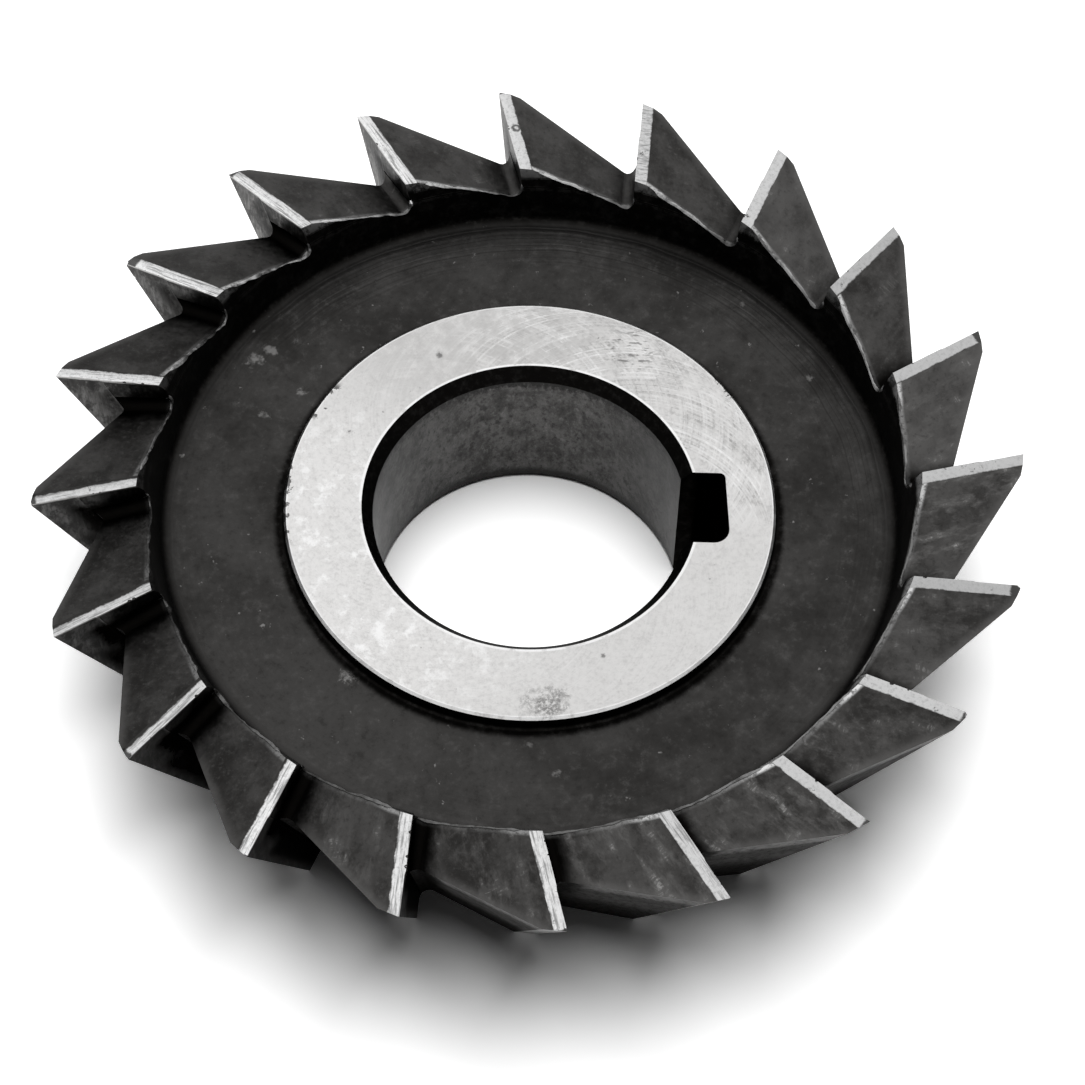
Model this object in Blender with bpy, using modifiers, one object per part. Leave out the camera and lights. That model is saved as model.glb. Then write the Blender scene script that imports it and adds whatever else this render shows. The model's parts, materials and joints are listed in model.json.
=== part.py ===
# Single angle milling cutter, made from one turned blank of tool steel.
# Its flat side carries face teeth round a recessed web and a raised hub, and its cone carries
# the side teeth. Each gap between two teeth is a gash in the flat side and a flute down the cone.
# Metres, +Z up. It stands on its small end with the flat side up, and its keyway faces +X.

import math

import bmesh
import bpy
from mathutils import Vector
from mathutils.geometry import intersect_plane_plane

MM = 0.001
UP = Vector((0, 0, 1))

# Blank
OUTER_DIAMETER = 50.0 * MM
WIDTH = 12.0 * MM
CONE_ANGLE = math.radians(65.0)  # between the flat side and the cone

# Bore and keyway
BORE_DIAMETER = 16.0 * MM
HUB_CHAMFER = 0.55 * MM  # at the bore's upper mouth
BACK_CHAMFER = 0.3 * MM  # at the bore's lower mouth
KEYWAY_WIDTH = 4.1 * MM
KEYWAY_DEPTH = 2.1 * MM  # beyond the bore's wall
KEYWAY_CORNER = 0.4 * MM

# Hub, web and the wall that rises from the web to the face teeth
HUB_DIAMETER = 25.0 * MM
HUB_SETBACK = 2.3 * MM  # from the face teeth down to the hub's face
HUB_STEP = 0.9 * MM  # from the hub's face down to the web
HUB_EDGE = 0.12 * MM
HUB_FILLET = 0.2 * MM
FACE_TOOTH_LENGTH = 5.25 * MM
RIM_BEVEL = 0.35 * MM  # across the wall's top edge
RIM_BEVEL_DROP = 0.5 * MM
WALL_DRAFT = math.radians(14.5)
WALL_FILLET = 0.5 * MM

# Teeth, numbered clockwise as seen from above, with their cutting edges counterclockwise
TOOTH_COUNT = 20
FIRST_TOOTH = math.radians(95.4)  # from the keyway to a tooth's tip
RAKE_ANGLE = math.radians(8.9)
FACE_LAND = 0.65 * MM
FACE_RELIEF = math.radians(5.0)
SIDE_LAND = 1.15 * MM
SIDE_RELIEF = math.radians(9.0)
GASH_SLOPE = math.radians(19.0)  # of a face tooth's back, below the flat side
FLUTE_BACK = math.radians(42.0)  # of a side tooth's back, from square to its rake face
ROOT_RADIUS = 0.5 * MM
RAKE_STEP = 0.04 * MM  # the flutes are cut this much deeper into the rake faces than the gashes

# Fineness of the facets
FACETS_PER_TOOTH = 6
ARC_STEPS = 4

MARGIN = 1.0 * MM  # how far a cutter runs past the blank


def clear_scene():
    for item in list(bpy.data.objects):
        bpy.data.objects.remove(item, do_unlink=True)


def new_collection(name):
    collection = bpy.data.collections.new(name)
    bpy.context.scene.collection.children.link(collection)
    return collection


def new_object(name, mesh, collection):
    item = bpy.data.objects.new(name, mesh)
    collection.objects.link(item)
    return item


def dark_steel():
    material = bpy.data.materials.new("black_oxide_steel")
    material.use_nodes = True
    shader = material.node_tree.nodes["Principled BSDF"]
    shader.inputs["Base Color"].default_value = (0.045, 0.045, 0.042, 1.0)
    shader.inputs["Metallic"].default_value = 0.85
    shader.inputs["Roughness"].default_value = 0.48
    return material


# An arc that rounds the corner between two straight runs.
def rounded_corner(before, corner, after, radius):
    to_before = (before - corner).normalized()
    to_after = (after - corner).normalized()
    half = to_before.angle(to_after) / 2
    centre = corner + (to_before + to_after).normalized() * (radius / math.sin(half))
    start = corner + to_before * (radius / math.tan(half)) - centre
    end = corner + to_after * (radius / math.tan(half)) - centre
    sweep = start.angle(end)
    points = []
    for step in range(ARC_STEPS + 1):
        turned = sweep * step / ARC_STEPS
        blend = start * math.sin(sweep - turned) + end * math.sin(turned)
        points.append(centre + blend / math.sin(sweep))
    return points


# The blank's half section, from the tip down the cone and round by the bore, hub and web.
def blank_section():
    outer = OUTER_DIAMETER / 2
    bore = BORE_DIAMETER / 2
    hub = HUB_DIAMETER / 2
    hub_face = WIDTH - HUB_SETBACK
    web = hub_face - HUB_STEP
    bevel_top = outer - FACE_TOOTH_LENGTH
    wall_top = bevel_top - RIM_BEVEL
    wall_foot = wall_top - (WIDTH - RIM_BEVEL_DROP - web) * math.tan(WALL_DRAFT)
    corners = [
        (outer, WIDTH, 0),
        (outer - WIDTH / math.tan(CONE_ANGLE), 0, 0),
        (bore + BACK_CHAMFER, 0, 0),
        (bore, BACK_CHAMFER, 0),
        (bore, hub_face - HUB_CHAMFER, 0),
        (bore + HUB_CHAMFER, hub_face, 0),
        (hub - HUB_EDGE, hub_face, 0),
        (hub, hub_face - HUB_EDGE, 0),
        (hub, web, HUB_FILLET),
        (wall_foot, web, WALL_FILLET),
        (wall_top, WIDTH - RIM_BEVEL_DROP, 0),
        (bevel_top, WIDTH, 0),
    ]
    points = [Vector((across, 0, height)) for across, height, _ in corners]
    section = []
    for index, (_, _, radius) in enumerate(corners):
        if radius:
            after = points[(index + 1) % len(points)]
            section += rounded_corner(points[index - 1], points[index], after, radius)
        else:
            section.append(points[index])
    return section


def turned_blank(collection):
    section = blank_section()
    mesh = bpy.data.meshes.new("angle_cutter")
    ring = [(index, (index + 1) % len(section)) for index in range(len(section))]
    mesh.from_pydata(section, ring, [])
    blank = new_object("angle_cutter", mesh, collection)
    blank.rotation_euler.z = FIRST_TOOTH
    turn = blank.modifiers.new("turn", "SCREW")
    turn.axis = "Z"
    turn.angle = math.tau
    turn.steps = TOOTH_COUNT * FACETS_PER_TOOTH
    turn.render_steps = turn.steps
    turn.use_merge_vertices = True
    turn.merge_threshold = 0.000001
    return blank


# A closed outline swept along a straight run, centred on the outline.
def prism(name, outline, run):
    mesh = bpy.data.meshes.new(name)
    shape = bmesh.new()
    start = [shape.verts.new(point - run / 2) for point in outline]
    face = shape.faces.new(start)
    swept = bmesh.ops.extrude_face_region(shape, geom=[face])["geom"]
    end = [part for part in swept if isinstance(part, bmesh.types.BMVert)]
    bmesh.ops.translate(shape, verts=end, vec=run)
    bmesh.ops.recalc_face_normals(shape, faces=shape.faces)
    shape.to_mesh(mesh)
    shape.free()
    return mesh


# Directions of the tooth at an angle: along its rake face, and square out of that face.
def tooth_axes(angle):
    turned = angle + RAKE_ANGLE
    along = Vector((math.cos(turned), math.sin(turned), 0))
    return along, UP.cross(along)


def tooth_tip(angle):
    return Vector((math.cos(angle), math.sin(angle), 0)) * (OUTER_DIAMETER / 2) + UP * WIDTH


# The side tooth at 0: its cutting edge, from the tip to the small end, and its land's direction.
def side_edge():
    along, out = tooth_axes(0)
    tip = tooth_tip(0)
    across = tip.dot(out)
    radius = OUTER_DIAMETER / 2 - WIDTH / math.tan(CONE_ANGLE)
    foot = along * math.sqrt(radius**2 - across**2) + out * across
    relief = Vector((-math.sin(SIDE_RELIEF), -math.cos(SIDE_RELIEF), 0))
    return tip, foot - tip, relief


# The face tooth at 0: its cutting edge, from the tip to the rim's bevel, and its land's direction.
def face_edge():
    along, out = tooth_axes(0)
    relief = -out * math.cos(FACE_RELIEF) - UP * math.sin(FACE_RELIEF)
    return tooth_tip(0) + out * RAKE_STEP, -along * FACE_TOOTH_LENGTH, relief


# A thin wedge above a tooth's land, which gives the land its clearance.
def land_mesh(name, edge, width, away):
    tip, run, relief = edge
    middle = tip + run / 2
    start = middle - relief * MARGIN
    end = middle + relief * (width + MARGIN)
    outline = [start, end, end + away * MARGIN, start + away * MARGIN]
    return prism(name, outline, run * (1 + 2 * MARGIN / run.length))


# A V groove with a round root, between two planes given by a point and the normal into the groove.
def groove(name, first, second, middle, length):
    point, run = intersect_plane_plane(first[0], first[1], second[0], second[1])
    run.normalize()
    root = point + run * (middle - point).dot(run)
    reach = math.tau * OUTER_DIAMETER / 2 / TOOTH_COUNT + 2 * MARGIN
    arms = []
    for (_, normal), (_, other) in ((first, second), (second, first)):
        arm = run.cross(normal)
        if arm.dot(other) < 0:
            arm.negate()
        arms.append(root + arm * reach)
    outline = [arms[0], *rounded_corner(arms[0], root, arms[1], ROOT_RADIUS), arms[1]]
    return prism(name, outline, run * length)


# The gash in the flat side between the tooth at 0 and the next one clockwise.
def gash_mesh():
    _, out = tooth_axes(0)
    next_along, next_out = tooth_axes(-math.tau / TOOTH_COUNT)
    next_tip = tooth_tip(-math.tau / TOOTH_COUNT)
    tip, _, relief = face_edge()
    slope = UP * math.cos(GASH_SLOPE) - out * math.sin(GASH_SLOPE)
    back = (tip + relief * FACE_LAND, slope)
    rake = (next_tip + next_out * RAKE_STEP, next_out)
    middle = next_tip - next_along * (FACE_TOOTH_LENGTH / 2)
    return groove("gash", back, rake, middle, FACE_TOOTH_LENGTH + 4 * MARGIN)


# The flute down the cone between the tooth at 0 and the next one clockwise.
def flute_mesh():
    along, out = tooth_axes(0)
    _, next_out = tooth_axes(-math.tau / TOOTH_COUNT)
    next_tip = tooth_tip(-math.tau / TOOTH_COUNT)
    tip, run, relief = side_edge()
    inward = -out * math.cos(FLUTE_BACK) - along * math.sin(FLUTE_BACK)
    normal = inward.cross(run).normalized()
    if normal.dot(along) < 0:
        normal.negate()
    back = (tip + relief * SIDE_LAND, normal)
    middle = next_tip + run / 2
    return groove("flute", back, (next_tip, next_out), middle, run.length + 4 * MARGIN)


def keyway_mesh():
    floor = BORE_DIAMETER / 2 + KEYWAY_DEPTH
    side = KEYWAY_WIDTH / 2
    middle = WIDTH / 2
    corners = [Vector((x, y, middle)) for x, y in ((0, -side), (floor, -side), (floor, side), (0, side))]
    outline = [
        corners[0],
        *rounded_corner(corners[0], corners[1], corners[2], KEYWAY_CORNER),
        *rounded_corner(corners[1], corners[2], corners[3], KEYWAY_CORNER),
        corners[3],
    ]
    return prism("keyway", outline, UP * (WIDTH + 2 * MARGIN))


def add_cutter(name, mesh, angle, collection):
    cutter = new_object(name, mesh, collection)
    cutter.rotation_euler.z = angle
    cutter.display_type = "WIRE"
    cutter.hide_render = True


def main():
    clear_scene()
    cutter_parts = new_collection("single_angle_milling_cutter")
    tools = new_collection("tooth_and_keyway_cutters")
    tools.hide_render = True

    outward = tooth_tip(0) - UP * WIDTH
    meshes = [
        gash_mesh(),
        flute_mesh(),
        land_mesh("face_land", face_edge(), FACE_LAND, UP),
        land_mesh("side_land", side_edge(), SIDE_LAND, outward.normalized()),
    ]
    for tooth in range(TOOTH_COUNT):
        angle = FIRST_TOOTH - tooth * math.tau / TOOTH_COUNT
        for mesh in meshes:
            add_cutter(f"{mesh.name}_{tooth + 1}", mesh, angle, tools)
    add_cutter("keyway", keyway_mesh(), 0, tools)

    blank = turned_blank(cutter_parts)
    blank.data.materials.append(dark_steel())
    cut = blank.modifiers.new("cut", "BOOLEAN")
    cut.operation = "DIFFERENCE"
    cut.solver = "EXACT"
    cut.operand_type = "COLLECTION"
    cut.collection = tools


main()
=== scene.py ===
import json
import math
import random

import bmesh
import bpy
from mathutils import Matrix, Vector, noise
from mathutils.geometry import intersect_plane_plane

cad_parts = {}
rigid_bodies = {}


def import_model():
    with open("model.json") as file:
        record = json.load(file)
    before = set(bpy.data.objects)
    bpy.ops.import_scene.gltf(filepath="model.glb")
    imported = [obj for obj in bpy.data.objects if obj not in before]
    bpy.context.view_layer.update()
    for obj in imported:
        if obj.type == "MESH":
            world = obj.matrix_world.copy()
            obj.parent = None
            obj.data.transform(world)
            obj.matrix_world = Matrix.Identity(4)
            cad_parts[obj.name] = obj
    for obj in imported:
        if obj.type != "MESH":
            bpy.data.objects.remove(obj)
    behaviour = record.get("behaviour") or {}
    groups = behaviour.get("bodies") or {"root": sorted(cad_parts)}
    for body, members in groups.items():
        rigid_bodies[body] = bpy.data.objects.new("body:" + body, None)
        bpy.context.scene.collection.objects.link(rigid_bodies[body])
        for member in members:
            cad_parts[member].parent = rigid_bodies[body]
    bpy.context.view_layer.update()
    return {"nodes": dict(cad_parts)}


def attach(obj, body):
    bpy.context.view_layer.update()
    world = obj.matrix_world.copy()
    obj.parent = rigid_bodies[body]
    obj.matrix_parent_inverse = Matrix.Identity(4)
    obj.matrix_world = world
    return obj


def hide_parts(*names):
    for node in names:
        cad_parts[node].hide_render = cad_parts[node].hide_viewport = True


mm = 0.001
up = Vector((0, 0, 1))

for item in list(bpy.data.objects):
    bpy.data.objects.remove(item, do_unlink=True)
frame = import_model()
print("frame loaded:", sorted(frame["nodes"]))


# Small helpers for meshes and node trees

def newObject(name, mesh):
    made = bpy.data.objects.new(name, mesh)
    bpy.context.scene.collection.objects.link(made)
    return made


def meshFrom(shape, name):
    mesh = bpy.data.meshes.new(name)
    shape.to_mesh(mesh)
    shape.free()
    return mesh


def bakeMesh(source, name):
    # the evaluated mesh as a plain one, and the source object goes
    graph = bpy.context.evaluated_depsgraph_get()
    mesh = bpy.data.meshes.new_from_object(source.evaluated_get(graph), depsgraph=graph)
    mesh.name = name
    bpy.data.objects.remove(source, do_unlink=True)
    return mesh


def plug(value, socket):
    if isinstance(value, bpy.types.NodeSocket):
        socket.id_data.links.new(value, socket)
    else:
        socket.default_value = value


def addNode(tree, kind, wires=None, **settings):
    made = tree.nodes.new(kind)
    for key, value in settings.items():
        setattr(made, key, value)
    for key, value in (wires or {}).items():
        plug(value, made.inputs[key])
    return made


def calc(operation, *values):
    # a socket knows its tree, so the node goes where its values are
    tree = next(value.id_data for value in values if isinstance(value, bpy.types.NodeSocket))
    return addNode(tree, "ShaderNodeMath", dict(enumerate(values)), operation=operation).outputs[0]


def plus(first, second):
    return calc("ADD", first, second)


def minus(first, second):
    return calc("SUBTRACT", first, second)


def times(first, second):
    return calc("MULTIPLY", first, second)


def allOf(*shares):
    total = shares[0]
    for share in shares[1:]:
        total = times(total, share)
    return total


def anyOf(*shares):
    total = shares[0]
    for share in shares[1:]:
        total = calc("MAXIMUM", total, share)
    return total


def vectorMath(operation, first, second, output=0):
    made = addNode(first.id_data, "ShaderNodeVectorMath", {0: first, 1: second}, operation=operation)
    return made.outputs[output]


def scaled(vector, amount):
    wires = {0: vector, "Scale": amount}
    return addNode(vector.id_data, "ShaderNodeVectorMath", wires, operation="SCALE").outputs[0]


def stretched(vector, amounts):
    return vectorMath("MULTIPLY", vector, amounts)


def ramp(value, low, high, start=0.0, end=1.0):
    wires = {"Value": value, "From Min": low, "From Max": high, "To Min": start, "To Max": end}
    made = addNode(value.id_data, "ShaderNodeMapRange", wires, interpolation_type="SMOOTHSTEP")
    return made.outputs[0]


def fall(value, low, high):
    return ramp(value, low, high, 1.0, 0.0)


def levelRamp(value, stops, steps="LINEAR"):
    # stops are places and grey levels
    made = addNode(value.id_data, "ShaderNodeValToRGB", {0: value})
    made.color_ramp.interpolation = steps
    marks = made.color_ramp.elements
    for index, (place, level) in enumerate(stops):
        mark = marks[index] if index < 2 else marks.new(place)
        mark.position = place
        mark.color = (level, level, level, 1.0)
    return made.outputs["Color"]


# The cutter's sizes, in millimetres and degrees

cutterSizes = {
    "outerDiameter": 50.0,
    "width": 12.0,
    "coneAngle": 65.0,
    "boreDiameter": 16.0,
    "hubChamfer": 0.55,
    "hubChamferDepth": 0.72,
    "backChamfer": 0.3,
    "keywayWidth": 4.2,
    "keywayDepth": 2.1,
    "keywayCorners": (0.8, 0.3),
    "keywaySkew": 0.17,  # how far its floor leans at each side
    "keywayShift": 0.08,
    "hubDiameter": 25.0,
    "hubSetback": 2.3,
    "hubStep": 0.9,
    "hubEdge": 0.12,
    "hubFillet": 0.2,
    "faceToothLength": 5.25,
    "rimBevel": 0.35,
    "rimBevelDrop": 0.5,
    "wallDraft": 14.5,
    "wallFillet": 0.5,
    "teeth": 20,
    "firstTooth": 95.4,  # from the keyway to a tooth's tip
    "rake": 8.9,
    "faceLand": 0.65,
    "faceRelief": 5.0,
    "sideLand": 1.15,
    "sideRelief": 9.0,
    "gashSlope": 19.0,
    "fluteBack": 42.0,
    "rootRadius": 0.5,
    "rakeStep": 0.04,
    "facetsPerTooth": 8,
    "arcSteps": 6,
}
numbers = {key: value for key, value in cutterSizes.items() if not isinstance(value, tuple)}
size = {key: value * mm for key, value in numbers.items()}
rad = {key: math.radians(value) for key, value in numbers.items()}
teeth = cutterSizes["teeth"]
arcSteps = cutterSizes["arcSteps"]
pitch = math.tau / teeth
margin = 1.0 * mm
outer = size["outerDiameter"] / 2
tipAlong = 24.7  # mm along the rake face from the middle to the tip
coneLean = 0.473  # mm that the cone's edge comes in along the rake face for each mm of depth
ownRake = 0.008  # share of a pitch by which a rake face is still counted to its own tooth
gashRoot = (0.1064, 0.289)  # the depth of the gash's root: slope along the rake face, and start in mm


def roundedCorner(before, corner, after, radius):
    toBefore = (before - corner).normalized()
    toAfter = (after - corner).normalized()
    half = toBefore.angle(toAfter) / 2
    centre = corner + (toBefore + toAfter).normalized() * (radius / math.sin(half))
    start = corner + toBefore * (radius / math.tan(half)) - centre
    end = corner + toAfter * (radius / math.tan(half)) - centre
    sweep = start.angle(end)
    points = []
    for step in range(arcSteps + 1):
        turned = sweep * step / arcSteps
        blend = start * math.sin(sweep - turned) + end * math.sin(turned)
        points.append(centre + blend / math.sin(sweep))
    return points


def wallProfile():
    # radius and height of the bevel's top, its foot, and the wall's foot
    web = size["width"] - size["hubSetback"] - size["hubStep"]
    bevelTop = outer - size["faceToothLength"]
    wallTop = bevelTop - size["rimBevel"]
    drop = size["width"] - size["rimBevelDrop"] - web
    foot = wallTop - drop * math.tan(rad["wallDraft"])
    return bevelTop, wallTop, foot, web


def blankSection():
    bore = size["boreDiameter"] / 2
    hub = size["hubDiameter"] / 2
    hubFace = size["width"] - size["hubSetback"]
    bevelTop, wallTop, foot, web = wallProfile()
    corners = [
        (outer, size["width"], 0),
        (outer - size["width"] / math.tan(rad["coneAngle"]), 0, 0),
        (bore + size["backChamfer"], 0, 0),
        (bore, size["backChamfer"], 0),
        (bore, hubFace - size["hubChamferDepth"], 0),
        (bore + size["hubChamfer"], hubFace, 0),
        (hub - size["hubEdge"], hubFace, 0),
        (hub, hubFace - size["hubEdge"], 0),
        (hub, web, size["hubFillet"]),
        (foot, web, size["wallFillet"]),
        (wallTop, size["width"] - size["rimBevelDrop"], 0),
        (bevelTop, size["width"], 0),
    ]
    points = [Vector((across, 0, height)) for across, height, _ in corners]
    section = []
    for index, (_, _, radius) in enumerate(corners):
        if radius:
            after = points[(index + 1) % len(points)]
            section += roundedCorner(points[index - 1], points[index], after, radius)
        else:
            section.append(points[index])
    return section


def turnedBlank():
    shape = bmesh.new()
    turned = Matrix.Rotation(rad["firstTooth"], 3, "Z")
    ring = [shape.verts.new(turned @ point) for point in blankSection()]
    edges = [shape.edges.new((ring[i - 1], ring[i])) for i in range(len(ring))]
    steps = teeth * cutterSizes["facetsPerTooth"]
    bmesh.ops.spin(shape, geom=ring + edges, axis=up, angle=math.tau, steps=steps, use_merge=True)
    bmesh.ops.remove_doubles(shape, verts=shape.verts, dist=0.000001)
    bmesh.ops.recalc_face_normals(shape, faces=shape.faces)
    return meshFrom(shape, "turnedBlank")


def prism(name, outline, run):
    shape = bmesh.new()
    start = [shape.verts.new(point - run / 2) for point in outline]
    face = shape.faces.new(start)
    swept = bmesh.ops.extrude_face_region(shape, geom=[face])["geom"]
    end = [part for part in swept if isinstance(part, bmesh.types.BMVert)]
    bmesh.ops.translate(shape, verts=end, vec=run)
    bmesh.ops.recalc_face_normals(shape, faces=shape.faces)
    return meshFrom(shape, name)


def toothAxes(angle):
    turned = angle + rad["rake"]
    along = Vector((math.cos(turned), math.sin(turned), 0))
    return along, up.cross(along)


def toothTip(angle):
    return Vector((math.cos(angle), math.sin(angle), 0)) * outer + up * size["width"]


def sideEdge():
    along, out = toothAxes(0)
    tip = toothTip(0)
    across = tip.dot(out)
    radius = outer - size["width"] / math.tan(rad["coneAngle"])
    foot = along * math.sqrt(radius**2 - across**2) + out * across
    relief = Vector((-math.sin(rad["sideRelief"]), -math.cos(rad["sideRelief"]), 0))
    return tip, foot - tip, relief


def faceEdge():
    along, out = toothAxes(0)
    relief = -out * math.cos(rad["faceRelief"]) - up * math.sin(rad["faceRelief"])
    return toothTip(0) + out * size["rakeStep"], -along * size["faceToothLength"], relief


def landCutter(name, edge, width, away):
    tip, run, relief = edge
    middle = tip + run / 2
    start = middle - relief * margin
    end = middle + relief * (width + margin)
    outline = [start, end, end + away * margin, start + away * margin]
    return prism(name, outline, run * (1 + 2 * margin / run.length))


def grooveSection(first, second, middle):
    # the section of a V groove with a round root, and the way that the groove runs
    point, run = intersect_plane_plane(first[0], first[1], second[0], second[1])
    run.normalize()
    root = point + run * (middle - point).dot(run)
    reach = pitch * outer + 2 * margin
    arms = []
    for (_, normal), (_, other) in ((first, second), (second, first)):
        arm = run.cross(normal)
        if arm.dot(other) < 0:
            arm.negate()
        arms.append(root + arm * reach)
    return [arms[0], *roundedCorner(arms[0], root, arms[1], size["rootRadius"]), arms[1]], run


def groove(name, section, length):
    outline, run = section
    return prism(name, outline, run * length)


def gashPlane():
    # a point on the back of the face tooth at 0, and the way that back faces
    _, out = toothAxes(0)
    tip, _, relief = faceEdge()
    slope = up * math.cos(rad["gashSlope"]) - out * math.sin(rad["gashSlope"])
    return tip + relief * size["faceLand"], slope


def gashSection():
    nextAlong, nextOut = toothAxes(-pitch)
    nextTip = toothTip(-pitch)
    rake = (nextTip + nextOut * size["rakeStep"], nextOut)
    middle = nextTip - nextAlong * (size["faceToothLength"] / 2)
    return grooveSection(gashPlane(), rake, middle)


def gashCutter():
    return groove("gash", gashSection(), size["faceToothLength"] + 4 * margin)


def fluteCutter():
    along, out = toothAxes(0)
    _, nextOut = toothAxes(-pitch)
    nextTip = toothTip(-pitch)
    tip, run, relief = sideEdge()
    inward = -out * math.cos(rad["fluteBack"]) - along * math.sin(rad["fluteBack"])
    normal = inward.cross(run).normalized()
    if normal.dot(along) < 0:
        normal.negate()
    back = (tip + relief * size["sideLand"], normal)
    section = grooveSection(back, (nextTip, nextOut), nextTip + run / 2)
    return groove("flute", section, run.length + 4 * margin)


def keywayCutter():
    floor = (size["boreDiameter"] / 2) + size["keywayDepth"]
    side = size["keywayWidth"] / 2
    skew = size["keywaySkew"]
    height = size["width"] / 2
    spots = ((0, -side), (floor + skew / 2, -side), (floor - skew, side), (0, side))
    corners = [Vector((x, y + size["keywayShift"], height)) for x, y in spots]
    outline = [
        corners[0],
        *roundedCorner(corners[0], corners[1], corners[2], cutterSizes["keywayCorners"][0] * mm),
        *roundedCorner(corners[1], corners[2], corners[3], cutterSizes["keywayCorners"][1] * mm),
        corners[3],
    ]
    return prism("keyway", outline, up * (size["width"] + 2 * margin))


# Wear: nicks in the cutting edges and crumbled tips

wear = {
    "seed": 11,
    "nicksPerTooth": 3,
    "nickSize": (0.05, 0.14),  # mm
    "wornTips": {7: 0.3, 8: 0.34, 11: 0.28, 13: 0.16, 14: 0.2, 16: 0.2, 18: 0.24, 1: 0.16},
}


def toothPoint(tooth, along, behind, depth):
    # a point from its place on a tooth, in mm: along the rake face, behind it, below the flat side
    angle = rad["firstTooth"] - (tooth - 1) * pitch
    ahead, out = toothAxes(angle)
    across = -math.sin(rad["rake"]) * outer - behind * mm
    return ahead * (along * mm) + out * across + up * (size["width"] - depth * mm)


def stone(shape, centre, radius, seed):
    # a rough lump that takes a chip out of an edge
    made = bmesh.ops.create_icosphere(shape, subdivisions=2, radius=radius)["verts"]
    for vert in made:
        push = 1 + 0.45 * noise.noise(vert.co / radius * 0.9 + Vector((seed, seed * 0.37, -seed)))
        vert.co = vert.co * push + centre


def chipStones():
    chance = random.Random(wear["seed"])
    shape = bmesh.new()
    low, high = wear["nickSize"]
    for tooth in range(1, teeth + 1):
        worn = wear["wornTips"].get(tooth, 0)
        if worn:
            spot = toothPoint(tooth, tipAlong + 0.05, -0.02, -0.02)
            stone(shape, spot, worn * mm, tooth)
        for nick in range(wear["nicksPerTooth"]):
            radius = chance.uniform(low, high)
            if chance.random() < 0.65:
                spot = toothPoint(tooth, chance.uniform(19.6, 23.9), -radius * 0.55, -radius * 0.45)
            else:
                depth = chance.uniform(0.8, 10)
                along = tipAlong - depth * coneLean + radius * 0.5
                spot = toothPoint(tooth, along, -radius * 0.5, depth)
            stone(shape, spot, radius * mm, tooth * 10 + nick)
    return meshFrom(shape, "chips")


# Burr: the ragged lip along each tooth's inner edge

burr = {
    "radius": 0.15,  # mm
    "raggedness": 0.85,  # waves per mm
    "wander": 0.15,  # mm
    "backReach": 5.6,  # mm up the back from the root
    "rakeReach": 0.25,  # mm up the next rake face
    "below": 0.16,  # mm that it stays under the flat side
    "seed": 5,
}


def wallRadius(height):
    bevelTop, wallTop, _, _ = wallProfile()
    bevelFoot = size["width"] - size["rimBevelDrop"]
    if height > bevelFoot:
        return wallTop + (bevelTop - wallTop) * (height - bevelFoot) / size["rimBevelDrop"]
    return wallTop - (bevelFoot - height) * math.tan(rad["wallDraft"])


def ontoWall(point, run):
    # slides a point of the gash's section along the gash until it meets the wall
    inward = run if run.x < 0 else -run
    low, high = -8 * mm, 8 * mm
    for _ in range(30):
        middle = (low + high) / 2
        spot = point + inward * middle
        if math.hypot(spot.x, spot.y) > wallRadius(spot.z):
            low = middle
        else:
            high = middle
    return point + inward * low


def burrLine():
    # the gash's edge on the wall, from the land down its back, round its root and up the next rake
    outline, run = gashSection()
    back = outline[1] - outline[0]
    rake = outline[-1] - outline[-2]
    reach = burr["backReach"] * mm
    steps = 24
    points = [outline[1] - back.normalized() * (reach * (1 - step / steps)) for step in range(steps)]
    points += outline[1:-1]
    reach = burr["rakeReach"] * mm
    points += [outline[-2] + rake.normalized() * (reach * (step + 1) / 4) for step in range(4)]
    shape = bmesh.new()
    last = None
    for point in points:
        spot = ontoWall(point, run)
        if spot.z > size["width"] - burr["below"] * mm:
            continue
        vert = shape.verts.new(spot)
        if last:
            shape.edges.new((last, vert))
        last = vert
    return meshFrom(shape, "burrLine")


# Geometry Nodes: cuts the teeth, the keyway and the chips, and adds the burrs

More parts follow.
